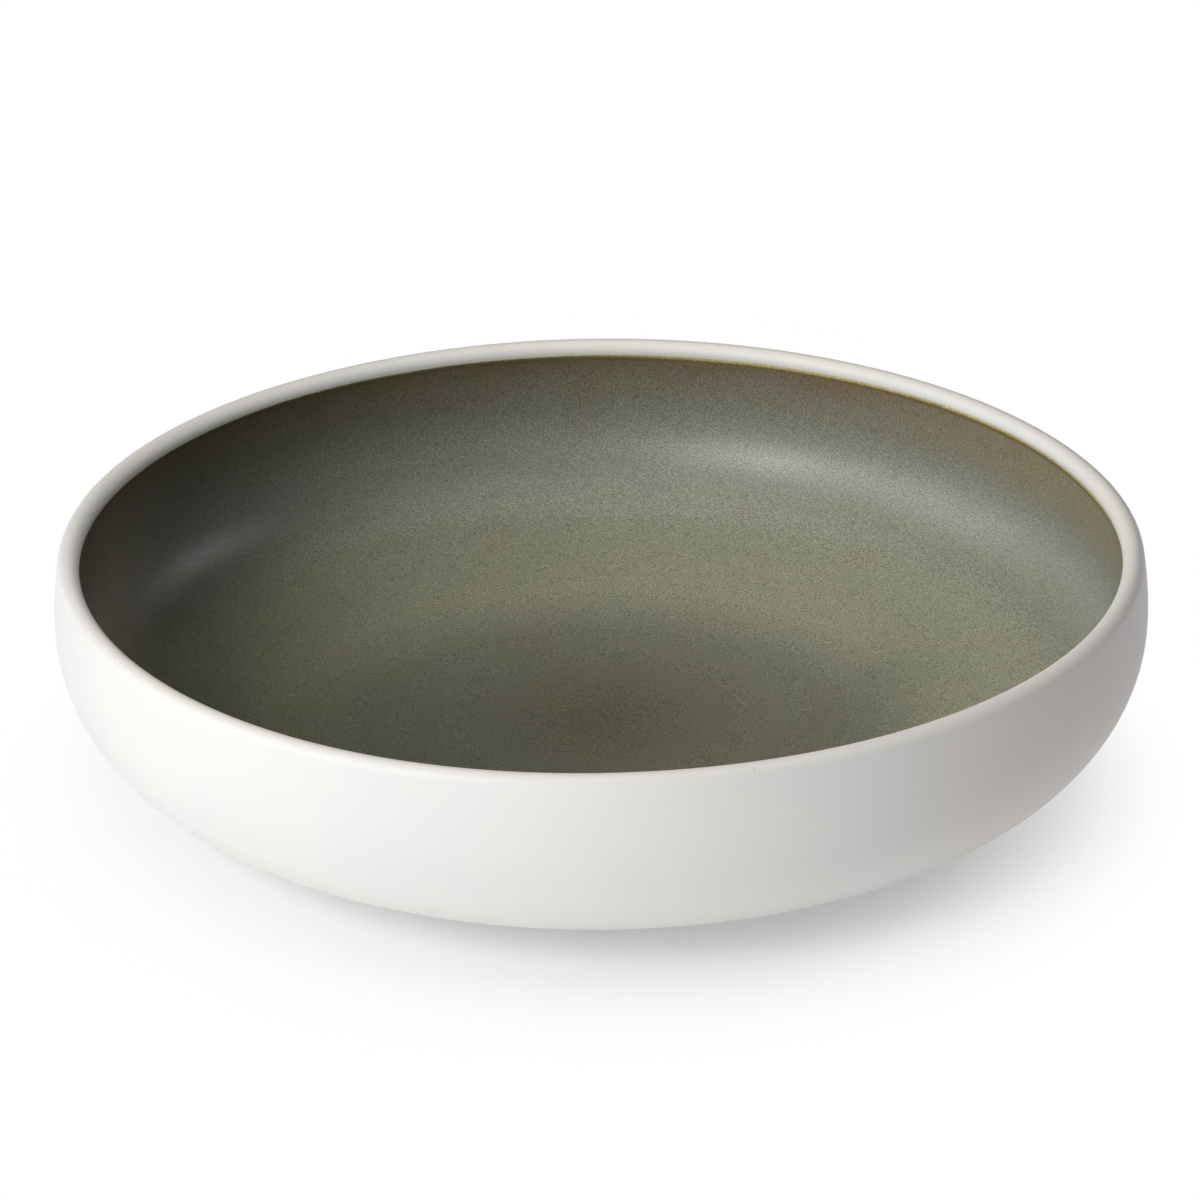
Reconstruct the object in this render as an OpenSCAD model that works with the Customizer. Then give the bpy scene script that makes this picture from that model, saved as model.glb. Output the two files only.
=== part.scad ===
// Deep plate in stoneware: a round coupe form with a full-round rim, white outside and green inside.
// The origin is the middle of the foot ring on the table, and +Z is the axis that it was turned on.
// Its half section is a chain of arcs that run smoothly into each other. The clay and its coats of
// glaze are drawn from the same chain, so every coat lies face to face on the clay.

/* [Plate] */
// Diameter across the widest part of the wall
plate_d = 280; // [240:1:320]
// Height of the rim above the table
plate_h = 60; // [52:0.5:70]
// Thickness of the wall and of its round rim, with the glaze on both faces
wall_t = 5.6; // [4.6:0.1:7]
// Radius of the wall's slight curve, from its widest part up to the rim
wall_r = 88; // [70:1:130]
// How far below the rim the wall is widest
widest_drop = 17.6; // [13:0.2:22]

/* [Belly and base] */
// Height at which the belly's tight curve runs out into the underside
belly_end_z = 8.8; // [7:0.2:10.4]
// Slope of the underside where the belly's curve runs out, in degrees
belly_slope = 18; // [15:0.5:21]
// Height of the middle of the eating surface, which is its lowest point
floor_z = 7.2; // [6.6:0.1:8.4]
// Thickness of the base inside the foot ring, with the glaze on both faces
base_t = 5.5; // [4.5:0.1:6.2]

/* [Foot ring] */
// How far in from the widest part of the wall the foot ring stands
foot_inset = 56; // [50:1:62]
// How far the foot ring stands out below the underside
foot_h = 2.4; // [1.4:0.1:3.2]
// Width of the foot ring
foot_w = 5; // [4:0.1:8]
// Radius of the foot ring's two bottom edges
foot_round = 1; // [0.5:0.1:1.2]
// Radius of the corner between the foot ring and the recess inside it
recess_round = 2; // [1:0.1:2.4]

/* [Glaze] */
// Thickness of each coat of glaze
glaze_t = 0.4; // [0.2:0.05:0.6]
// How far below the round of the rim the two glazes meet, along the wall's inner face
glaze_line_drop = 0.7; // [0.2:0.1:6]

/* [Hidden] */
$fn = 180;

// Number of straight steps that each arc is drawn in
wall_steps = 8;
rim_steps = 12;
belly_steps = 24;
base_steps = 12;
corner_steps = 6;

// Points nearer to each other than this are one point
same_point = 0.001;

// The wall's arc is centred level with the widest part
plate_r = plate_d / 2;
widest_z = plate_h - widest_drop;
wall_c = [plate_r - wall_r, widest_z];
inner_wall_r = wall_r - wall_t;

// The rim is a half round as thick as the wall, so it runs on from both of the wall's faces
rim_r = wall_t / 2;
rim_turn = asin((widest_drop - rim_r) / (wall_r - rim_r));
rim_c = wall_c + (wall_r - rim_r) * [cos(rim_turn), sin(rim_turn)];

// The belly's arc meets the wall's where both stand upright, and ends at the underside's slope
belly_r = (widest_z - belly_end_z) / cos(belly_slope);
belly_c = [plate_r - belly_r, widest_z];
belly_end = belly_c + belly_r * [sin(belly_slope), -cos(belly_slope)];
inner_belly_r = belly_r - wall_t;

// The underside's arc leaves the belly smoothly and comes down to the top of the foot ring
foot_r = plate_r - foot_inset;
under_chord = belly_end - [foot_r, foot_h];
under_bend = belly_slope - atan2(under_chord[1], under_chord[0]);
under_r = norm(under_chord) / (2 * sin(under_bend));
under_c = belly_end + under_r * [-sin(belly_slope), cos(belly_slope)];

// The floor's arc is centred on the axis and runs smoothly into the belly's inner face
floor_drop = widest_z - floor_z;
floor_reach = pow(belly_c[0], 2) + pow(floor_drop, 2) - pow(inner_belly_r, 2);
floor_r = floor_reach / (2 * (floor_drop - inner_belly_r));
floor_c = [0, floor_z + floor_r];
floor_slope = atan2(belly_c[0], floor_c[1] - widest_z);

// The recess under the base follows the floor, and a round corner ends it at the foot ring
recess_edge = foot_r - foot_w;
ceiling_r = floor_r + base_t;
corner_r = recess_edge - recess_round;
corner_c = [corner_r, floor_c[1] - sqrt(pow(ceiling_r + recess_round, 2) - pow(corner_r, 2))];
corner_slope = asin(corner_r / (ceiling_r + recess_round));

// The glazes meet square to the wall, this many degrees up its arc
line_turn = rim_turn - glaze_line_drop / inner_wall_r * 180 / PI;

// An arc's points, from one angle to another
function arc(centre, radius, from, to, steps) = [
    for (i = [0:steps])
        let (angle = from + (to - from) * i / steps)
            centre + radius * [cos(angle), sin(angle)]
];

// Several lists of points as one line, with a shared end point kept once
function joined(lists) =
    let (points = [for (list = lists) each list])
        [for (i = [0:len(points) - 1]) if (i == 0 || norm(points[i] - points[i - 1]) > same_point) points[i]];

function reversed(points) = [for (i = [len(points) - 1:-1:0]) points[i]];

// The angle at which the underside comes to the side of the foot ring
function foot_angle(skin) = -acos((foot_r - under_c[0]) / (under_r - skin));

// The face under white glaze, with a skin taken off it: up from the foot ring, over the rim and
// down to the line where the glazes meet. A skin of 0 gives the finished plate.
function white_face(skin) = joined([
    arc(under_c, under_r - skin, foot_angle(skin), belly_slope - 90, base_steps),
    arc(belly_c, belly_r - skin, belly_slope - 90, 0, belly_steps),
    arc(wall_c, wall_r - skin, 0, rim_turn, wall_steps),
    arc(rim_c, rim_r - skin, rim_turn, 90, rim_steps),
    arc(rim_c, rim_r - skin, 90, rim_turn + 180, rim_steps),
    arc(wall_c, inner_wall_r + skin, rim_turn, line_turn, 1)
]);

// The face under green glaze: down from the line where the glazes meet to the middle of the floor
function green_face(skin) = joined([
    arc(wall_c, inner_wall_r + skin, line_turn, 0, wall_steps),
    arc(belly_c, inner_belly_r + skin, 0, floor_slope - 90, belly_steps),
    arc(floor_c, floor_r + skin, floor_slope - 90, -90, base_steps)
]);

// The recess's glazed ceiling, from the middle out to its round corner
function ceiling_face(skin) = arc(floor_c, ceiling_r - skin, -90, corner_slope - 90, base_steps);

// The bare foot ring: the recess's round corner, down its inner side and over its two bottom edges
function foot_face() = joined([
    arc(corner_c, recess_round, corner_slope + 90, 0, corner_steps),
    arc([recess_edge + foot_round, foot_round], foot_round, 180, 270, corner_steps),
    arc([foot_r - foot_round, foot_round], foot_round, 270, 360, corner_steps)
]);

// A coat of glaze: from its own face to the face of the clay under it
module coat(outer_points, clay_points) {
    rotate_extrude() polygon(joined([outer_points, reversed(clay_points)]));
}

// The fired clay, with the bare foot ring that it stands on
module stoneware_body() {
    color("#b7a387")
    rotate_extrude()
    polygon(joined([white_face(glaze_t), green_face(glaze_t), ceiling_face(glaze_t), foot_face()]));
}

// White glaze over the outside and the rim
module white_wall_glaze() {
    color("#f0eee8") coat(white_face(0), white_face(glaze_t));
}

// White glaze in the recess under the base
module white_recess_glaze() {
    color("#f0eee8") coat(ceiling_face(0), ceiling_face(glaze_t));
}

// Green glaze over the inside
module green_glaze_lining() {
    color("#70755a") coat(green_face(0), green_face(glaze_t));
}

stoneware_body();
white_wall_glaze();
white_recess_glaze();
green_glaze_lining();
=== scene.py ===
# %% [markdown]
# # A deep plate in glazed stoneware
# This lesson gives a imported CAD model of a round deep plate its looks. The real plate is stoneware clay with
# three coats of glaze on it: matt white outside and over the rim, the same white in the recess underneath,
# and a satin green inside. A kiln leaves such a plate a little out of true, and glaze never ends on a ruled
# line, so each piece is modelled again with bmesh in the place of its CAD node, and then finished.

# %% Load the CAD model as a fixed frame
import math

import bmesh
import bpy
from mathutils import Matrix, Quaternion, Vector, noise


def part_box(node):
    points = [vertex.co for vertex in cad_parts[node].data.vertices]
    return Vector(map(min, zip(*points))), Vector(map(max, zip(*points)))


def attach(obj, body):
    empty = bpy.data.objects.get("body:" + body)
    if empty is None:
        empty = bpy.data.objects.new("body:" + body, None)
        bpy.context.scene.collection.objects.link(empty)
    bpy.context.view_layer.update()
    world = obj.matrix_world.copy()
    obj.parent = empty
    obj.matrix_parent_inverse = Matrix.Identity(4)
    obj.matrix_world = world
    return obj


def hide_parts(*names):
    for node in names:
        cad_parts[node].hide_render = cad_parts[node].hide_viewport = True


MM = 0.001
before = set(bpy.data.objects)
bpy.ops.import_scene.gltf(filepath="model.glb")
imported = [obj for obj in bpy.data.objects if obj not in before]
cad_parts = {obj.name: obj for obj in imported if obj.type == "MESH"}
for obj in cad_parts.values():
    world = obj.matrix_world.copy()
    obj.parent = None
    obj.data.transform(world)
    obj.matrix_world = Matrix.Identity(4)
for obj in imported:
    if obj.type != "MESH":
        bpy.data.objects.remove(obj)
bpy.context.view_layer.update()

# %% [markdown]
# ## The sizes
# Everything on a turned plate follows one half section, so a few sizes settle the whole form. The corners of
# the CAD nodes give the outer sizes and the thicknesses. The curves in between can't be read from a box, so
# they repeat the driving sizes of the CAD source.

# %% Sizes of the plate
white_low, white_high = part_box("white_wall_glaze")
green_low, green_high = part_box("green_glaze_lining")
clay_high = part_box("stoneware_body")[1]
recess_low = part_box("white_recess_glaze")[0]

plate_r = white_high.x
plate_h = white_high.z
glaze_t = white_high.x - clay_high.x
foot_h = white_low.z
floor_z = green_low.z + glaze_t
base_t = floor_z - recess_low.z
line_z = green_high.z

wall_t = 5.6 * MM
wall_r = 88 * MM
widest_z = plate_h - 17.6 * MM
belly_end_z = 8.8 * MM
belly_slope = math.radians(18)
foot_r = plate_r - 56 * MM
foot_w = 5 * MM
foot_round = 1 * MM
recess_round = 2 * MM
print("plate in mm:", round(2 * plate_r / MM, 1), "across,", round(plate_h / MM, 1), "high")

# %% [markdown]
# ## The arcs of the half section
# The roller that presses such a plate sweeps arcs that run smoothly into each other. They could be drawn as a
# Bezier curve, but arcs with a centre and a radius give exact tangents, and a coat of glaze then keeps the
# same centres and only takes its thickness off each radius.

# %% Centres and radii
UPWARD = math.pi / 2
DOWNWARD = -UPWARD


def at(radius, height):
    """A point of the half section, which is drawn in the plane of X and Z."""
    return Vector((radius, 0, height))


def towards(angle):
    """The direction at an angle from +X to +Z."""
    return at(math.cos(angle), math.sin(angle))


wall_c = at(plate_r - wall_r, widest_z)
inner_wall_r = wall_r - wall_t
rim_r = wall_t / 2
rim_turn = math.asin((plate_h - rim_r - widest_z) / (wall_r - rim_r))
rim_c = wall_c + (wall_r - rim_r) * towards(rim_turn)
line_turn = math.asin((line_z - widest_z) / (inner_wall_r + glaze_t))

belly_r = (widest_z - belly_end_z) / math.cos(belly_slope)
belly_c = at(plate_r - belly_r, widest_z)
inner_belly_r = belly_r - wall_t
belly_end = belly_c + belly_r * towards(belly_slope + DOWNWARD)

under_chord = belly_end - at(foot_r, foot_h)
under_bend = belly_slope - math.atan2(under_chord.z, under_chord.x)
under_r = under_chord.length / (2 * math.sin(under_bend))
under_c = belly_end - under_r * towards(belly_slope + DOWNWARD)

floor_drop = widest_z - floor_z
floor_r = (belly_c.x**2 + floor_drop**2 - inner_belly_r**2) / (2 * (floor_drop - inner_belly_r))
floor_c = at(0, floor_z + floor_r)
floor_slope = math.atan2(belly_c.x, floor_c.z - widest_z)

ceiling_r = floor_r + base_t
corner_x = foot_r - foot_w - recess_round
corner_slope = math.asin(corner_x / (ceiling_r + recess_round))
corner_c = floor_c + (ceiling_r + recess_round) * towards(corner_slope + DOWNWARD)
print("radii in mm: rim", round(rim_r / MM, 2), "belly", round(belly_r / MM, 2), "floor", round(floor_r / MM))

# %% [markdown]
# ## Faces as chains of arcs
# An arc here is its centre, radius, first and last angle and number of steps. Each face starts at the line
# where the two glazes meet. A skin of 0 gives the finished face, and a skin of one coat gives the clay's. The
# tight arcs get the most steps, and the long shallow ones need few.

# %% Faces of the section
LINE_STEPS = 2
RIM_STEPS = 24
BEAD_STEPS = 8
WALL_STEPS = 8
BELLY_STEPS = 24
INNER_BELLY_STEPS = 20
UNDER_STEPS = 12
FLOOR_STEPS = 8
CEILING_STEPS = 12
CORNER_STEPS = 6
bead_depth = 3 * MM
bead_turn = line_turn - bead_depth / inner_wall_r


def white_face(skin):
    """From the line over the rim and down the outside to the foot ring."""
    foot_angle = -math.acos((foot_r - under_c.x) / (under_r - skin))
    return [
        (wall_c, inner_wall_r + skin, line_turn, rim_turn, LINE_STEPS),
        (rim_c, rim_r - skin, rim_turn + math.pi, rim_turn, RIM_STEPS),
        (wall_c, wall_r - skin, rim_turn, 0, WALL_STEPS),
        (belly_c, belly_r - skin, 0, belly_slope + DOWNWARD, BELLY_STEPS),
        (under_c, under_r - skin, belly_slope + DOWNWARD, foot_angle, UNDER_STEPS),
    ]


def green_face(skin, share=1):
    """From the line down the inside to the middle of the floor, with a share of the usual steps."""
    return [
        (wall_c, inner_wall_r + skin, line_turn, bead_turn, int(BEAD_STEPS * share)),
        (wall_c, inner_wall_r + skin, bead_turn, 0, int(WALL_STEPS * share)),
        (belly_c, inner_belly_r + skin, 0, floor_slope + DOWNWARD, int(INNER_BELLY_STEPS * share)),
        (floor_c, floor_r + skin, floor_slope + DOWNWARD, DOWNWARD, int(FLOOR_STEPS * share)),
    ]


def ceiling_face(skin):
    """From the recess's round corner to the middle of its ceiling."""
    return [(floor_c, ceiling_r - skin, corner_slope + DOWNWARD, DOWNWARD, CEILING_STEPS)]


def foot_face():
    """Down the outer side of the bare foot ring, over its two edges and up into the recess's corner."""
    outer_edge = at(foot_r - foot_round, foot_round)
    inner_edge = at(foot_r - foot_w + foot_round, foot_round)
    return [
        (outer_edge, foot_round, 0, DOWNWARD, CORNER_STEPS),
        (inner_edge, foot_round, DOWNWARD, -math.pi, CORNER_STEPS),
        (corner_c, recess_round, 0, corner_slope + UPWARD, CORNER_STEPS),
    ]


def backward(arcs):
    """The same arcs from the last to the first."""
    return [(centre, radius, end, start, steps) for centre, radius, start, end, steps in reversed(arcs)]


def length_of(arcs):
    """How far a line runs along some arcs."""
    return sum(radius * abs(end - start) for _, radius, start, end, _ in arcs)


inside_length = length_of(green_face(0))
print("the inside measures", round(inside_length / MM, 1), "mm from its middle to the line")

# %% [markdown]
# ## Drawing and turning
# A potter's section becomes a plate on the wheel, and the same two moves make it here. One vertex is spun
# about the centre of each arc in turn, which draws the half section as a chain of edges. Then the chain is
# spun round the Z axis in two goes, and its last copy is merged with the first. Each vertex keeps how far
# along the face it lies, because glaze changes colour with that distance, and a material can read it.

# %% Helpers that draw and turn
SAME_POINT = 0.005 * MM
REACH = "reach"
HIDDEN = -1.0
SECTORS = 16


def draw(bm, arcs, shown, closed=False):
    """Draws arcs end to end, with a straight edge where two don't touch. The first arcs, as many as shown
    says, are seen, and their vertices keep their distance along the face."""
    reach = bm.verts.layers.float.new(REACH)
    centre, radius, start = arcs[0][:3]
    first = tip = bm.verts.new(centre + radius * towards(start))
    tip[reach] = 0.0 if shown else HIDDEN
    travel = 0.0
    for number, (centre, radius, start, end, steps) in enumerate(arcs):
        begin = centre + radius * towards(start)
        if (begin - tip.co).length > SAME_POINT:
            tip = bmesh.ops.extrude_vert_indiv(bm, verts=[tip])["verts"][0]
            tip.co = begin
            tip[reach] = HIDDEN if number >= shown else travel
        for _ in range(steps):
            turn = (end - start) / steps
            spun = bmesh.ops.spin(bm, geom=[tip], cent=centre, axis=(0, -1, 0), angle=turn, steps=1)
            tip = next(part for part in spun["geom_last"] if isinstance(part, bmesh.types.BMVert))
            travel += radius * abs(turn)
            tip[reach] = HIDDEN if number >= shown else travel
    if closed:
        bm.edges.new((tip, first))


def turned(name, arcs, shown, steps, closed=False):
    """A mesh made by turning a half section once round the Z axis, in two goes: a spin reads the whole mesh
    again at each step, so a sixteenth of the turn is spun and then copied round."""
    bm = bmesh.new()
    draw(bm, arcs, shown, closed)
    chain = bm.verts[:] + bm.edges[:]
    sector = 2 * math.pi / SECTORS
    bmesh.ops.spin(bm, geom=chain, axis=(0, 0, 1), angle=sector, steps=steps // SECTORS)
    whole = bm.verts[:] + bm.edges[:] + bm.faces[:]
    rest = SECTORS - 1
    bmesh.ops.spin(bm, geom=whole, axis=(0, 0, 1), angle=rest * sector, steps=rest, use_duplicate=True)
    bmesh.ops.remove_doubles(bm, verts=bm.verts, dist=SAME_POINT)
    bmesh.ops.recalc_face_normals(bm, faces=bm.faces)
    print(name, "has", len(bm.faces), "faces")
    return bm


# %% [markdown]
# ## A little out of true
# Clay softens in the kiln, so the wall of a plate sinks a little as a whole, and here it sinks and there it
# rises by some tenths of a millimetre more, while the foot ring stays flat on its shelf. One smooth function
# moves the vertices of all four pieces alike, which keeps every coat on the clay. It could be a Lattice or a
# Cast modifier, but a few waves round the plate are easier to read and match what a kiln does. Each wave is
# its number of crests, its height, and how far it is turned, in degrees of the wave.

# %% Helper that warps a piece
SUNK = 0.18 * MM
WARP_WAVES = [(1, 0.24 * MM, -24), (2, 0.31 * MM, -90), (3, 0.23 * MM, -162), (4, 0.10 * MM, 15)]


def ease(value):
    """0 below 0, 1 above 1, and a smooth step in between."""
    held = min(max(value, 0.0), 1.0)
    return held * held * (3 - 2 * held)


def lift_at(place, waves):
    """How far some waves lift the place that lies in a direction from the middle."""
    angle = math.atan2(place.y, place.x)
    return sum(size * math.cos(count * angle - math.radians(turn)) for count, size, turn in waves)


def warp(bm):
    """Lifts or sinks the wall a little, and leaves what stands on the table where it is."""
    for vertex in bm.verts:
        vertex.co.z += ease(vertex.co.z / plate_h) * (lift_at(vertex.co, WARP_WAVES) - SUNK)


# %% [markdown]
# ## From drawing to piece
# Glaze has no facets, so every face is shaded smooth, and only edges sharper than 40 degrees stay crisp, such
# as those where a coat ends. That could be a Smooth by Angle modifier, but marking the edges keeps the mesh
# final. Each piece then takes the place of its CAD node, which is hidden. Each piece then stands for its CAD
# node, which keeps its place in the collision model.

# %% Helpers that place a piece
SHARP = math.radians(40)


def placed(bm, name, material):
    """An object in the scene with the mesh that was drawn."""
    mesh = bpy.data.meshes.new(name)
    bm.to_mesh(mesh)
    bm.free()
    mesh.materials.append(material)
    piece = bpy.data.objects.new(name, mesh)
    bpy.context.scene.collection.objects.link(piece)
    return piece


def finished(bm, name, node, material):
    """Makes the piece in the place of a CAD node, which it hides, with smooth shading except at its sharp
    edges.
    """
    warp(bm)
    for edge in bm.edges:
        edge.smooth = len(edge.link_faces) == 2 and edge.calc_face_angle() < SHARP
    for face in bm.faces:
        face.smooth = True
    piece = placed(bm, name, material)
    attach(piece, "root")
    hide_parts(node)


# %% [markdown]
# ## Tools for the materials
# Every finish here is a Principled shader fed by a few textures. Colours are written as sRGB hex values, as a
# colour picker shows them, and one function turns them into the linear values that the shader works in.
# Pattern sizes are real ones: a noise of scale 1 / size has features of about that size. A glaze that is
# poured or sprayed differs from side to side, so one helper measures how far a point lies towards a side.

# %% Helpers for materials
SOFT = "SMOOTHSTEP"


def linear(colour):
    """An sRGB hex value such as "#ecebe6" as linear red, green, blue and alpha."""
    shares = [int(colour[place:place + 2], 16) / 255 for place in (1, 3, 5)]
    return [s / 12.92 if s <= 0.04045 else ((s + 0.055) / 1.055) ** 2.4 for s in shares] + [1.0]


def add(tree, kind, sockets=None, stops=None, **settings):
    """Adds a node. A socket takes a value, or another node's output as a link, and stops are the places
    and colours of a ramp."""
    made = tree.nodes.new(kind)
    for name, value in settings.items():
        setattr(made, name, value)
    for name, value in (sockets or {}).items():
        if isinstance(value, bpy.types.NodeSocket):
            tree.links.new(value, made.inputs[name])
        else:
            made.inputs[name].default_value = value
    if stops:
        ramp = made.color_ramp
        for place, colour in stops[2:]:
            ramp.elements.new(place)
        for element, (place, colour) in zip(ramp.elements, sorted(stops)):
            element.position = place
            element.color = linear(colour)
    return made


def empty_material(name):
    """A material whose node tree is still empty, and that tree."""
    material = bpy.data.materials.new(name)
    material.use_nodes = True
    material.node_tree.nodes.clear()
    return material, material.node_tree


def new_material(name):
    """A material, its node tree and the shader that ends it."""
    material, tree = empty_material(name)
    shader = add(tree, "ShaderNodeBsdfPrincipled")
    add(tree, "ShaderNodeOutputMaterial", {"Surface": shader.outputs["BSDF"]})
    return material, tree, shader


def towards_side(tree, place, side, low, high, blend="LINEAR"):
    """How far a point lies towards one side of the plate, as a share from low to high. A side is an angle in
    degrees: 0 is the right, 90 the back and -90 the front."""
    aligned = add(tree, "ShaderNodeMapping", {"Vector": place, "Rotation": (0, 0, -math.radians(side))})
    across = add(tree, "ShaderNodeSeparateXYZ", {"Vector": aligned.outputs["Vector"]})
    share = add(tree, "ShaderNodeMapRange", {"Value": across.outputs["X"], "From Min": low, "From Max": high},
                interpolation_type=blend)
    return share.outputs["Result"]


# %% [markdown]
# ## Bare stoneware
# The foot ring has no glaze, because glaze would stick the plate to the kiln shelf. It is fired buff clay,
# ground smooth: dry and fully rough, with dark and light grains of grog. A noise with the size of the grog
# colours it and dents it, where a photograph of clay would repeat and stretch.

# %% Bare stoneware
GROG = 0.5 * MM
GROG_DENT = 0.1 * MM
GROG_COLOURS = [(0.30, "#8f7a60"), (0.45, "#b7a387"), (0.60, "#c0ad92"), (0.75, "#d8cab2")]
SPOT_GAP = 1.6 * MM
SPOT_COLOURS = [(0.08, "#7c6450"), (0.16, "#ffffff")]


def bare_stoneware():
    """Buff clay with fine grog and a few iron spots, dry to the eye."""
    material, tree, shader = new_material("bare_fired_stoneware")
    place = add(tree, "ShaderNodeTexCoord").outputs["Object"]
    grains = add(tree, "ShaderNodeTexNoise", {"Vector": place, "Scale": 1 / GROG, "Detail": 3.0})
    spots = add(tree, "ShaderNodeTexVoronoi", {"Vector": place, "Scale": 1 / SPOT_GAP})
    buff = add(tree, "ShaderNodeValToRGB", {"Fac": grains.outputs["Fac"]}, GROG_COLOURS)
    iron = add(tree, "ShaderNodeValToRGB", {"Fac": spots.outputs["Distance"]}, SPOT_COLOURS)
    colour = add(tree, "ShaderNodeMixRGB", {"Fac": 1.0, "Color1": buff.outputs["Color"],
                 "Color2": iron.outputs["Color"]}, blend_type="MULTIPLY")
    bump = add(tree, "ShaderNodeBump", {"Height": grains.outputs["Fac"], "Strength": 0.4,
               "Distance": GROG_DENT})
    tree.links.new(colour.outputs["Color"], shader.inputs["Base Color"])
    tree.links.new(bump.outputs["Normal"], shader.inputs["Normal"])
    shader.inputs["Roughness"].default_value = 0.85
    return material


# %% [markdown]
# ## Matt white glaze
# A tin or zircon white is sprayed on and fired to a smooth skin full of fine crystals, so its gloss is wide
# and faint. It is never one white. It clouds a little between warm and cool, iron from the clay comes through
# as rare specks, and the green glaze stains its first millimetre. Past the stain the white is painted lightest
# just inside the rim, as light, and it is a touch warmer and darker over the crest. On the outside at the
# front right it is painted warmer and darker as shade, and low on the belly it is painted lighter as light. A
# ramp of real distances from the line holds all this, since each vertex keeps its own.

# %% Colours of the white glaze
CLOUD = 38 * MM
CLOUD_COLOURS = [(0.35, "#f2f3f2"), (0.5, "#f4f4f2"), (0.65, "#f5f4f0")]
COAT_END = 60 * MM
# Past the green stain this ramp paints light: lightest just inside the rim, and lighter again low on the
# belly.
COAT_AND_LIGHT_COLOURS = [
    (0.0, "#e2d9a8"), (0.3, "#f2ecd2"), (0.7, "#fcfaf1"), (1.3, "#fffefc"),
    (3.0, "#fdfbf7"), (5.0, "#f7f2ea"), (7.0, "#f2efeb"), (9.0, "#f1f1f1"),
    (35.0, "#f1f1f1"), (55.0, "#f8f8f8"),
]
# Painted shade: the outside wall at the front right is warmer and darker.
WARM_SHADE_SIDE = -20
WARM_SHADE_START = 0.7 * plate_r
WARM_SHADE_FULL = 0.95 * plate_r
WARM_SHADE_WHITE = "#f4efeb"
CREST_END = 5 * MM
WALL_START = 9 * MM


def white_coat_colour(tree, place, away):
    """White by the distance from the line, with faint clouds, painted light inside the rim and low on the
    belly, and painted warm shade on the wall at the front right.
    """
    along = add(tree, "ShaderNodeMath", {0: away, 1: COAT_END}, operation="DIVIDE")
    coat_and_light = add(tree, "ShaderNodeValToRGB", {"Fac": along.outputs["Value"]},
               [(depth * MM / COAT_END, colour) for depth, colour in COAT_AND_LIGHT_COLOURS])
    cloud = add(tree, "ShaderNodeTexNoise", {"Vector": place, "Scale": 1 / CLOUD, "Detail": 3.0})
    white = add(tree, "ShaderNodeValToRGB", {"Fac": cloud.outputs["Fac"]}, CLOUD_COLOURS)
    # Painted shade on the wall at the front right
    front_right = towards_side(tree, place, WARM_SHADE_SIDE, WARM_SHADE_START, WARM_SHADE_FULL, SOFT)
    wall = add(tree, "ShaderNodeMapRange", {"Value": away, "From Min": CREST_END, "From Max": WALL_START},
               interpolation_type=SOFT)
    warm_shade = add(tree, "ShaderNodeMath", {0: front_right, 1: wall.outputs["Result"]}, operation="MULTIPLY")
    warm_shaded = add(tree, "ShaderNodeMixRGB", {"Fac": warm_shade.outputs["Value"], "Color1": white.outputs["Color"],
                 "Color2": linear(WARM_SHADE_WHITE)})
    return add(tree, "ShaderNodeMixRGB", {"Fac": 1.0, "Color1": warm_shaded.outputs["Color"],
               "Color2": coat_and_light.outputs["Color"]}, blend_type="MULTIPLY").outputs["Color"]


# %% Matt white glaze
SPECK_GAP = 16 * MM
SPECK_SHARE = 0.016
SPECK_COLOURS = [(SPECK_SHARE * 0.5, "#c6b6a0"), (SPECK_SHARE, "#ffffff")]
PEEL = 1.4 * MM
PEEL_DENT = 0.03 * MM


def matt_white_glaze():
    """Soft white with rare specks and a skin as faintly uneven as an orange's."""
    material, tree, shader = new_material("matt_white_sprayed_glaze")
    place = add(tree, "ShaderNodeTexCoord").outputs["Object"]
    reach = add(tree, "ShaderNodeAttribute", attribute_name=REACH).outputs["Fac"]
    # The hidden side holds -1, which counts as a metre from the line
    away = add(tree, "ShaderNodeMath", {0: reach}, operation="ABSOLUTE").outputs["Value"]
    specks = add(tree, "ShaderNodeTexVoronoi", {"Vector": place, "Scale": 1 / SPECK_GAP})
    iron = add(tree, "ShaderNodeValToRGB", {"Fac": specks.outputs["Distance"]}, SPECK_COLOURS)
    colour = add(tree, "ShaderNodeMixRGB", {"Fac": 1.0, "Color1": white_coat_colour(tree, place, away),
                 "Color2": iron.outputs["Color"]}, blend_type="MULTIPLY")
    peel = add(tree, "ShaderNodeTexNoise", {"Vector": place, "Scale": 1 / PEEL, "Detail": 2.0})
    bump = add(tree, "ShaderNodeBump", {"Height": peel.outputs["Fac"], "Strength": 0.2,
               "Distance": PEEL_DENT})
    tree.links.new(colour.outputs["Color"], shader.inputs["Base Color"])
    tree.links.new(bump.outputs["Normal"], shader.inputs["Normal"])
    shader.inputs["Roughness"].default_value = 0.5
    shader.inputs["IOR"].default_value = 1.5
    return material


# %% [markdown]
# ## Satin green reactive glaze
# Iron in this glaze melts to brown where the coat runs thin, just under its edge, and grows grey-green and
# olive crystals where it is thick. So the colour goes by the depth below the line, which each vertex keeps,
# and a ramp of real depths in millimetres holds it. The rings of colour wobble a little, and on the floor
# they lie nearer the front: partly where the melt pooled, and partly as painted shade over the front of the
# floor and painted light over its back.

# %% Rings of the green glaze
LAP = 0.3 * MM
lining_length = inside_length + LAP
DEPTHS = [
    (0.6, "#8c7963"), (2.0, "#8c7963"), (8.0, "#998f81"), (15.0, "#9b9b8d"),
    (26.0, "#ababa0"), (40.0, "#9c9d8a"), (56.0, "#acac93"), (80.0, "#b1af94"),
    (105.0, "#91907e"), (128.0, "#838170"), (162.0, "#736e5c"),
]
WOBBLE = 5 * MM
# On the floor the rings slip forward, partly painting shade over its front and light over its back.
BACK = 90
FLOOR_SLIP_AND_SHADE = 17 * MM


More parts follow.
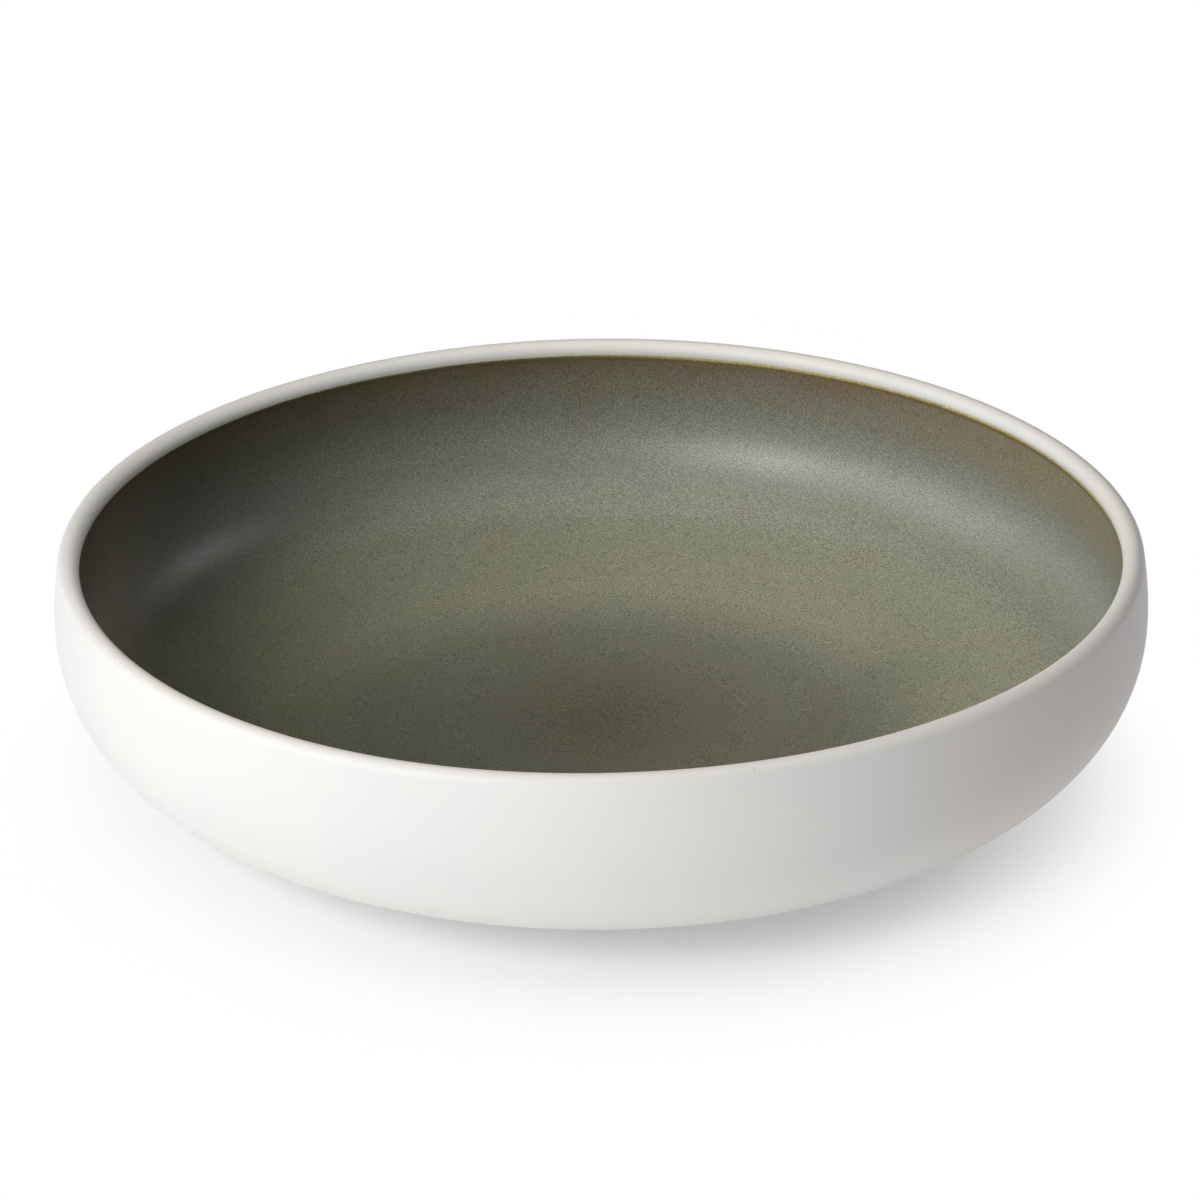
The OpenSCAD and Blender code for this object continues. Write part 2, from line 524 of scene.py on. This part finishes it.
def ring_colours(tree, place, reach, patches, on_floor):
    """The colour by depth. Patches push the rings to and fro, and on the floor the rings slip forward, partly
    as painted shade over its front and painted light over its back.
    """
    sway = add(tree, "ShaderNodeMath", {0: patches, 1: 0.5}, operation="SUBTRACT").outputs["Value"]
    moved = add(tree, "ShaderNodeMath", {0: sway, 1: WOBBLE, 2: reach}, operation="MULTIPLY_ADD")
    slip_and_shade = add(tree, "ShaderNodeMapRange", {"Value": towards_side(tree, place, BACK, -plate_r, plate_r),
               "To Min": -FLOOR_SLIP_AND_SHADE, "To Max": FLOOR_SLIP_AND_SHADE})
    slipped_and_shaded = add(tree, "ShaderNodeMath", {0: slip_and_shade.outputs["Result"], 1: on_floor,
                  2: moved.outputs["Value"]}, operation="MULTIPLY_ADD")
    along = add(tree, "ShaderNodeMath", {0: slipped_and_shaded.outputs["Value"], 1: lining_length}, operation="DIVIDE")
    stops = [(1 - (depth * MM + LAP) / lining_length, colour) for depth, colour in DEPTHS]
    return add(tree, "ShaderNodeValToRGB", {"Fac": along.outputs["Value"]}, stops).outputs["Color"]


# %% [markdown]
# ## Where the green glaze ends
# At its end the melt is a thin film over white, so within two millimetres of the line it breaks to brown, and
# at the back right to a bright yellow. Below that the top of the wall on the right is painted lighter, as
# light that falls there. A plain and a bright ramp hold the edge, and the side of the plate mixes them.

# %% Edge and top of the wall
EDGE = 2.2 * MM
EDGE_FADE = 0.6 * EDGE
EDGE_COLOURS = [(0.0, "#b3ac8c"), (0.35, "#8f8866"), (0.7, "#776c4c"), (1.8, "#807052")]
BRIGHT_EDGE = [(0.0, "#f4edd0"), (0.3, "#f0e4a6"), (0.6, "#dfca80"), (0.85, "#a38a56"), (1.1, "#8d7750")]
BRIGHT_SIDE = 42
BRIGHT_START = 0.55 * plate_r
BRIGHT_FULL = 0.86 * plate_r
# Painted light: the top of the wall on the right is lighter, as light that falls there.
LIT_WALL_SIDE = 0
LIT_WALL_START = 0.3 * plate_r
PAINTED_LIT_WALL = "#a99d82"
LIT_WALL_END = 20 * MM
LIT_WALL_FADE = 8 * MM


def edge_colour(tree, place, below):
    """The film at the line: brown, and bright yellow towards the back right."""
    close = add(tree, "ShaderNodeMath", {0: below, 1: EDGE}, operation="DIVIDE").outputs["Value"]
    plain, bright = [add(tree, "ShaderNodeValToRGB", {"Fac": close},
                         [(depth * MM / EDGE, colour) for depth, colour in colours]).outputs["Color"]
                     for colours in (EDGE_COLOURS, BRIGHT_EDGE)]
    brightness = towards_side(tree, place, BRIGHT_SIDE, BRIGHT_START, BRIGHT_FULL, SOFT)
    return add(tree, "ShaderNodeMixRGB", {"Fac": brightness, "Color1": plain,
               "Color2": bright}).outputs["Color"]


def with_edge(tree, place, below, rings):
    """The rings, with painted light on the wall high on the right, and the edge above them."""
    right = towards_side(tree, place, LIT_WALL_SIDE, LIT_WALL_START, plate_r, SOFT)
    high = add(tree, "ShaderNodeMapRange", {"Value": below, "From Min": LIT_WALL_END, "From Max": LIT_WALL_FADE},
               interpolation_type=SOFT)
    wall_light = add(tree, "ShaderNodeMath", {0: right, 1: high.outputs["Result"]}, operation="MULTIPLY")
    wall = add(tree, "ShaderNodeMixRGB", {"Fac": wall_light.outputs["Value"], "Color1": rings,
               "Color2": linear(PAINTED_LIT_WALL)})
    past = add(tree, "ShaderNodeMapRange", {"Value": below, "From Min": EDGE_FADE, "From Max": EDGE},
               interpolation_type=SOFT)
    return add(tree, "ShaderNodeMixRGB", {"Fac": past.outputs["Result"],
               "Color1": edge_colour(tree, place, below), "Color2": wall.outputs["Color"]}).outputs["Color"]


# %% [markdown]
# ## Uneven from side to side
# The potter pours the green glaze in and swirls it round, so on the left it lies thin and a little browner.
# Towards the left it is also painted darker as shade, and the floor is painted darker as shade at the front
# right. Patches of it are a touch warmer or cooler. Each of these multiplies the colour, as a tinted film over
# it would, so they can be tuned one by one. The places of the ramp are millimetres across the plate from its
# middle.

# %% Tints of the green glaze
PATCH_TINTS = [(0.30, "#f8fbfc"), (0.46, "#ffffff"), (0.56, "#ffffff"), (0.72, "#fdf8f5")]
# Painted shade: darker towards the left, with a browner tint on the left wall.
POUR_AND_SHADE_SIDE = 8
POUR_AND_SHADE_TINTS = [
    (-128, "#cabdb4"), (-119, "#b4aba3"), (-110, "#9f9d96"), (-100, "#a0a29e"),
    (-88, "#afb1ad"), (-65, "#c5c7c3"), (-50, "#d4d6d3"), (-28, "#e5e6e4"),
    (-5, "#f2f2f1"), (20, "#fcfcfc"), (45, "#ffffff"),
]
# Painted shade: the floor is darker at the front right.
FLOOR_SHADE_SIDE = -30
FLOOR_SHADE_START = 0.2 * plate_r
FLOOR_SHADE_FULL = 0.45 * plate_r
PAINTED_FLOOR_SHADE = "#e9eaea"


def uneven(tree, place, colour, patches, on_floor):
    """A colour under the films of tint: patches, painted shade and a browner glaze towards the left, and
    painted shade on the floor at the front right.
    """
    patch_film = add(tree, "ShaderNodeValToRGB", {"Fac": patches}, PATCH_TINTS)
    across = towards_side(tree, place, POUR_AND_SHADE_SIDE, -plate_r, plate_r)
    pour_and_shade_film = add(tree, "ShaderNodeValToRGB", {"Fac": across},
                    [(0.5 + 0.5 * width * MM / plate_r, tint) for width, tint in POUR_AND_SHADE_TINTS])
    for film in (patch_film, pour_and_shade_film):
        colour = add(tree, "ShaderNodeMixRGB", {"Fac": 1.0, "Color1": colour,
                     "Color2": film.outputs["Color"]}, blend_type="MULTIPLY").outputs["Color"]
    # Painted shade on the floor at the front right
    front_right = towards_side(tree, place, FLOOR_SHADE_SIDE, FLOOR_SHADE_START, FLOOR_SHADE_FULL, SOFT)
    floor_shade = add(tree, "ShaderNodeMath", {0: front_right, 1: on_floor}, operation="MULTIPLY")
    return add(tree, "ShaderNodeMixRGB", {"Fac": floor_shade.outputs["Value"], "Color1": colour,
               "Color2": linear(PAINTED_FLOOR_SHADE)}, blend_type="MULTIPLY").outputs["Color"]


# %% [markdown]
# ## The crystal grain
# Fine light and dark crystals lie all over the green, drawn out a little down the walls as the melt ran, and
# stronger where it pooled. The finest real ones are too small to show in the render, so the two noises are
# drawn as coarse as they need to show, 0.3 to 0.4 mm. The same grain dents the surface and changes its
# roughness, which breaks up the satin gloss.

# %% Grain of the green glaze
GRAIN = 0.28 * MM
POOLED_GRAIN = 0.38 * MM
DRAWN_OUT = 0.6
POOL_START = 20 * MM
POOL_FULL = 60 * MM
MOST_NOISE = (0.35, 0.65)
STRONG_GRAIN = (0.22, 0.78)
GRAIN_TINTS = [(0.38, "#b6bcb8"), (0.5, "#e3e5e1"), (0.62, "#ffffff")]


def crystal_grain(tree, place, below):
    """Noise for the crystals: fine on the wall, and coarser and stronger where the glaze pooled."""
    run = add(tree, "ShaderNodeMapping", {"Vector": place, "Scale": (1.0, 1.0, DRAWN_OUT)}).outputs["Vector"]
    fine, coarse = [add(tree, "ShaderNodeTexNoise", {"Vector": run, "Scale": 1 / size,
                        "Detail": 1.0}).outputs["Fac"] for size in (GRAIN, POOLED_GRAIN)]
    strong = add(tree, "ShaderNodeMapRange", {"Value": coarse, "From Min": MOST_NOISE[0],
                 "From Max": MOST_NOISE[1], "To Min": STRONG_GRAIN[0], "To Max": STRONG_GRAIN[1]})
    pooled = add(tree, "ShaderNodeMapRange", {"Value": below, "From Min": POOL_START, "From Max": POOL_FULL},
                 interpolation_type=SOFT)
    return add(tree, "ShaderNodeMix", {"Factor": pooled.outputs["Result"], "A": fine,
               "B": strong.outputs["Result"]}).outputs["Result"]


# %% [markdown]
# ## The green glaze put together
# The finish is built from the ground up, as it formed: rings, edge, tints, grain, and last a few pinholes
# where gas left the melt. It could be painted on by hand, but then it wouldn't follow if the plate changed.

# %% Satin green glaze
PATCH = 18 * MM
FLOOR_START = 55 * MM
FLOOR_FULL = 95 * MM
PINHOLE_GAP = 7 * MM
PINHOLE_SHARE = 0.03
PINHOLE_COLOURS = [(PINHOLE_SHARE * 0.5, "#8a8578"), (PINHOLE_SHARE, "#ffffff")]
GRAIN_DENT = 0.03 * MM
DULL_GRAIN = 0.43
GLOSSY_GRAIN = 0.36


def satin_green_glaze():
    """Grey-green satin glaze that breaks brown at its edge, with a drawn-out crystal grain."""
    material, tree, shader = new_material("satin_green_reactive_glaze")
    place = add(tree, "ShaderNodeTexCoord").outputs["Object"]
    reach = add(tree, "ShaderNodeAttribute", attribute_name=REACH).outputs["Fac"]
    below = add(tree, "ShaderNodeMath", {0: lining_length, 1: reach}, operation="SUBTRACT").outputs["Value"]
    patches = add(tree, "ShaderNodeTexNoise", {"Vector": place, "Scale": 1 / PATCH,
                  "Detail": 2.0}).outputs["Fac"]
    on_floor = add(tree, "ShaderNodeMapRange", {"Value": below, "From Min": FLOOR_START,
                   "From Max": FLOOR_FULL}, interpolation_type=SOFT).outputs["Result"]
    grain = crystal_grain(tree, place, below)
    holes = add(tree, "ShaderNodeTexVoronoi", {"Vector": place, "Scale": 1 / PINHOLE_GAP})
    rings = ring_colours(tree, place, reach, patches, on_floor)
    colour = uneven(tree, place, with_edge(tree, place, below, rings), patches, on_floor)
    for share, tints in ((grain, GRAIN_TINTS), (holes.outputs["Distance"], PINHOLE_COLOURS)):
        film = add(tree, "ShaderNodeValToRGB", {"Fac": share}, tints)
        colour = add(tree, "ShaderNodeMixRGB", {"Fac": 1.0, "Color1": colour,
                     "Color2": film.outputs["Color"]}, blend_type="MULTIPLY").outputs["Color"]
    satin = add(tree, "ShaderNodeMapRange", {"Value": grain, "From Min": 0.3, "From Max": 0.7,
                "To Min": DULL_GRAIN, "To Max": GLOSSY_GRAIN})
    bump = add(tree, "ShaderNodeBump", {"Height": grain, "Strength": 0.5, "Distance": GRAIN_DENT})
    tree.links.new(colour, shader.inputs["Base Color"])
    tree.links.new(satin.outputs["Result"], shader.inputs["Roughness"])
    tree.links.new(bump.outputs["Normal"], shader.inputs["Normal"])
    shader.inputs["IOR"].default_value = 1.6
    return material


# %% [markdown]
# ## The clay and its white coats
# The clay is one closed shell, and each coat is a thin shell that lies face to face on it, as glaze does. A
# Solidify modifier could grow a coat from the clay, but it would thin at the rim's tight round. Drawing both
# faces of a coat from the same arc centres keeps the thickness true.

# %% Build the clay and the white glaze
AROUND = 256
clay = bare_stoneware()
white = matt_white_glaze()
print("materials:", clay.name, "with", len(clay.node_tree.nodes), "nodes and",
      white.name, "with", len(white.node_tree.nodes))

clay_arcs = backward(green_face(glaze_t)) + white_face(glaze_t) + foot_face() + ceiling_face(glaze_t)
clay_body = turned("clay_body", clay_arcs, 0, AROUND)
finished(clay_body, "clay_body", "stoneware_body", clay)

white_arcs = white_face(0) + backward(white_face(glaze_t))
outside = turned("white_glaze_outside", white_arcs, len(white_face(0)), AROUND, closed=True)
finished(outside, "white_glaze_outside", "white_wall_glaze", white)

recess_arcs = backward(ceiling_face(0)) + ceiling_face(glaze_t)
recess = turned("white_glaze_recess", recess_arcs, 0, AROUND)
finished(recess, "white_glaze_recess", "white_recess_glaze", white)

# %% [markdown]
# ## The green lining and its edge
# The potter pours the green glaze in and swirls it up to the line, so its edge laps a third of a millimetre
# over the white, swells to a low bead where the melt stopped, and wanders up and down a little. The lap is
# one more arc at the end of the section. The bead and the wandering move vertices, so they show in the mesh:
# long low waves round the plate, as in the warp, and a finer noise, which closes on itself because it is read
# round a circle. What moves up or down also moves along the wall's lean, so the edge stays on the white.

# %% Draw and turn the lining
GREEN_AROUND = 1024
LAP_STEPS = 4
LAP_SEAT = 0.02 * MM
HALF_STEPS = 0.5
lap_turn = line_turn + LAP / inner_wall_r
lap_face = [(wall_c, inner_wall_r, line_turn, lap_turn, LAP_STEPS)]
lap_seat = [(wall_c, inner_wall_r + LAP_SEAT, lap_turn, line_turn, 1)]
green_shown = backward(green_face(0)) + lap_face
green_arcs = green_shown + lap_seat + green_face(glaze_t, HALF_STEPS)
lining = turned("green_glaze_inside", green_arcs, len(green_shown), GREEN_AROUND)

# %% Raise the bead and let the edge wander
BEAD = 0.07 * MM
BEAD_FADE = 1.2 * MM
WANDER_DEPTH = 4 * MM
WANDERINGS = [(25 * MM, 0.15 * MM), (2.5 * MM, 0.10 * MM)]
LINE_LOW = 0.06 * MM
LINE_WAVES = [(1, 0.05 * MM, 46), (2, 0.12 * MM, 124), (3, 0.14 * MM, 108), (4, 0.13 * MM, 138)]

reach_layer = lining.verts.layers.float[REACH]
for vertex in lining.verts:
    height = vertex.co.z - line_z
    outward = Vector((vertex.co.x, vertex.co.y, 0)).normalized()
    if vertex[reach_layer] >= 0:
        vertex.co -= BEAD * math.exp(-((height / BEAD_FADE) ** 2)) * outward
    wave = sum(size * noise.noise(plate_r * outward / length) for length, size in WANDERINGS)
    rise = (wave + lift_at(outward, LINE_WAVES) - LINE_LOW) * ease(1 + height / WANDER_DEPTH)
    vertex.co += at(0, rise) - math.tan(line_turn) * rise * outward
green = satin_green_glaze()
finished(lining, "green_glaze_inside", "green_glaze_lining", green)
print("material:", green.name, "with", len(green.node_tree.nodes), "nodes")

# %% [markdown]
# ## Floor
# A plate is photographed on white paper. Lamps alone would leave the paper grey at its far end, so to the
# camera it also glows a little, and more so away from the plate, up to plain white. Near the plate most of
# what the camera sees is lit paper, so the shadow stays. Glossy and see-through rays get the same paper.

# %% White paper table
FLOOR_SIZE = 8.0
PAPER_WHITE = "#fafafa"
PLAIN_WHITE = "#ffffff"
PAPER_NEAR = 95 * MM
PAPER_FAR = 156 * MM
GLOW_NEAR = 0.38
SHADOW_MIDDLE = (-4 * MM, -14 * MM, 0)


def rays_that_show_white(tree):
    """1 for rays from the camera, off gloss and through glass, and 0 for those that light the plate."""
    paths = add(tree, "ShaderNodeLightPath")
    seen = add(tree, "ShaderNodeMath", {0: paths.outputs["Is Camera Ray"], 1: paths.outputs["Is Glossy Ray"]},
               operation="MAXIMUM")
    shown = add(tree, "ShaderNodeMath", {0: seen.outputs["Value"], 1: paths.outputs["Is Transmission Ray"]},
                operation="MAXIMUM")
    return shown.outputs["Value"]


def white_paper():
    """White paper that keeps the plate's shadow and turns plain white further out."""
    material, tree = empty_material("white_paper")
    place = add(tree, "ShaderNodeTexCoord").outputs["Object"]
    far = add(tree, "ShaderNodeVectorMath", {0: place, 1: SHADOW_MIDDLE}, operation="DISTANCE")
    glow = add(tree, "ShaderNodeMapRange", {"Value": far.outputs["Value"], "From Min": PAPER_NEAR,
               "From Max": PAPER_FAR, "To Min": GLOW_NEAR, "To Max": 1.0}, interpolation_type=SOFT)
    share = add(tree, "ShaderNodeMath", {0: rays_that_show_white(tree), 1: glow.outputs["Result"]},
                operation="MULTIPLY")
    paper = add(tree, "ShaderNodeBsdfDiffuse", {"Color": linear(PAPER_WHITE)})
    light = add(tree, "ShaderNodeEmission", {"Color": linear(PLAIN_WHITE), "Strength": 1.0})
    mixed = add(tree, "ShaderNodeMixShader", {0: share.outputs["Value"], 1: paper.outputs["BSDF"],
                2: light.outputs["Emission"]})
    add(tree, "ShaderNodeOutputMaterial", {"Surface": mixed.outputs["Shader"]})
    return material


paper_sheet = bmesh.new()
bmesh.ops.create_grid(paper_sheet, x_segments=1, y_segments=1, size=FLOOR_SIZE / 2)
placed(paper_sheet, "table", white_paper())
print("the paper turns plain white", round(PAPER_FAR / MM), "mm from the middle of the shadow")

# %% [markdown]
# ## Studio walls and world
# The world is plain white to the camera, and to glossy and see-through rays. Round the plate stands a dark
# studio that the camera doesn't see, as black cloth does on a real set: a satin glaze takes its depth from
# the dark that it reflects between the lamps.

# %% Dark studio
STUDIO_R = 3.5
STUDIO_GREY = "#2a2a2a"

cloth = bmesh.new()
bmesh.ops.create_icosphere(cloth, subdivisions=4, radius=STUDIO_R)
whole = cloth.verts[:] + cloth.edges[:] + cloth.faces[:]
bmesh.ops.bisect_plane(cloth, geom=whole, plane_co=(0, 0, 0), plane_no=(0, 0, -1), clear_outer=True)
cloth_material, _, cloth_shader = new_material("black_cloth")
cloth_shader.inputs["Base Color"].default_value = linear(STUDIO_GREY)
cloth_shader.inputs["Roughness"].default_value = 1.0
studio_walls = placed(cloth, "studio_walls", cloth_material)
studio_walls.visible_camera = False
print("the dark studio is", STUDIO_R, "m away")

# %% White world
AMBIENT = 0.1

world = bpy.data.worlds.new("studio")
bpy.context.scene.world = world
world.use_nodes = True
sky = world.node_tree
sky.nodes.clear()
dim = add(sky, "ShaderNodeBackground", {"Color": linear(PLAIN_WHITE), "Strength": AMBIENT})
white_sky = add(sky, "ShaderNodeBackground", {"Color": linear(PLAIN_WHITE), "Strength": 1.0})
mix = add(sky, "ShaderNodeMixShader", {0: rays_that_show_white(sky), 1: dim.outputs["Background"],
          2: white_sky.outputs["Background"]})
add(sky, "ShaderNodeOutputWorld", {"Surface": mix.outputs["Shader"]})
print("the world lights the plate with a strength of", AMBIENT)

# %% [markdown]
# ## Lamps
# The light comes mostly from two softboxes, one on the left and one at the front left, both under 35 degrees
# up. They light the far wall, put the highlight on it, and leave the left wall in its own shade. A strip that
# is almost on the table lights the outside from the front without shining in over the rim. Three weak lamps
# fill in: one high on the left and one at the front right for the crest of the rim, and a small card on the
# right that puts the faint spot on the left wall. A softbox overhead lights the rim, the floor and the paper.
# Each lamp is its name, azimuth and elevation in degrees, width and height in metres, watts and colour.

# %% Softboxes
LAMP_DISTANCE = 1.5
plate_middle = at(0, plate_h / 2)
LAMPS = [
    ("left_softbox", -90, 25, 1.2, 0.7, 5.8, "#ffffff"),
    ("front_left_softbox", -42, 33, 0.65, 0.6, 10.9, "#ffffff"),
    ("low_front_strip", -12, 1.8, 1.2, 0.1, 3.8, "#fffaf4"),
    ("front_right_fill", 60, 62, 0.7, 0.7, 0.9, "#ffffff"),
    ("high_left_softbox", -90, 60, 1.1, 1.1, 1.6, "#ffffff"),
    ("right_card", 115, 27, 0.3, 0.3, 1.6, "#f6f4ff"),
    ("top_softbox", 0, 88, 1.4, 1.4, 7.6, "#ffffff"),
]


def softbox(name, azimuth, elevation, width, height, watts, tint):
    """A lamp that faces the plate. Azimuth 0 is the camera's side and 90 is the right."""
    turn, rise = math.radians(azimuth), math.radians(elevation)
    out = Vector((math.sin(turn) * math.cos(rise), -math.cos(turn) * math.cos(rise), math.sin(rise)))
    lamp = bpy.data.lights.new(name, "AREA")
    lamp.shape = "RECTANGLE"
    lamp.size = width
    lamp.size_y = height
    lamp.energy = watts
    lamp.color = linear(tint)[:3]
    holder = bpy.data.objects.new(name, lamp)
    holder.rotation_mode = "QUATERNION"
    holder.rotation_quaternion = out.to_track_quat("Z", "Y")
    holder.location = plate_middle + LAMP_DISTANCE * out
    holder.visible_camera = False
    bpy.context.scene.collection.objects.link(holder)


for lamp_settings in LAMPS:
    softbox(*lamp_settings)
print("lamps:", ", ".join(lamp_name for lamp_name, *_ in LAMPS))

# %% [markdown]
# ## Camera
# The photograph's camera was found by fitting the plate's outline, rim and glaze line: a long lens from
# 1.27 m away, 24 degrees above the table. Its slight roll is kept, because the table's edge can't show it.

# %% Camera
CAMERA_DISTANCE = 1.265
CAMERA_RISE = math.radians(24.16)
CAMERA_ROLL = math.radians(-0.43)
LENS = 148
CLIP_START = 0.05
CLIP_END = 50
rim_middle = at(0, 54.8 * MM)
aim = Vector((-0.3 * MM, -4.9 * MM, 44.0 * MM))

camera = bpy.data.objects.new("camera", bpy.data.cameras.new("camera"))
bpy.context.scene.collection.objects.link(camera)
camera.data.lens = LENS
camera.data.clip_start = CLIP_START
camera.data.clip_end = CLIP_END
camera_back = Vector((0, -math.cos(CAMERA_RISE), math.sin(CAMERA_RISE)))
camera.location = rim_middle + CAMERA_DISTANCE * camera_back
camera.rotation_mode = "QUATERNION"
look = aim - camera.location
camera.rotation_quaternion = look.to_track_quat("-Z", "Y") @ Quaternion((0, 0, 1), CAMERA_ROLL)
bpy.context.scene.camera = camera
bpy.context.scene.view_settings.view_transform = "Standard"
print("camera", round(CAMERA_DISTANCE, 3), "m away with a", LENS, "mm lens")
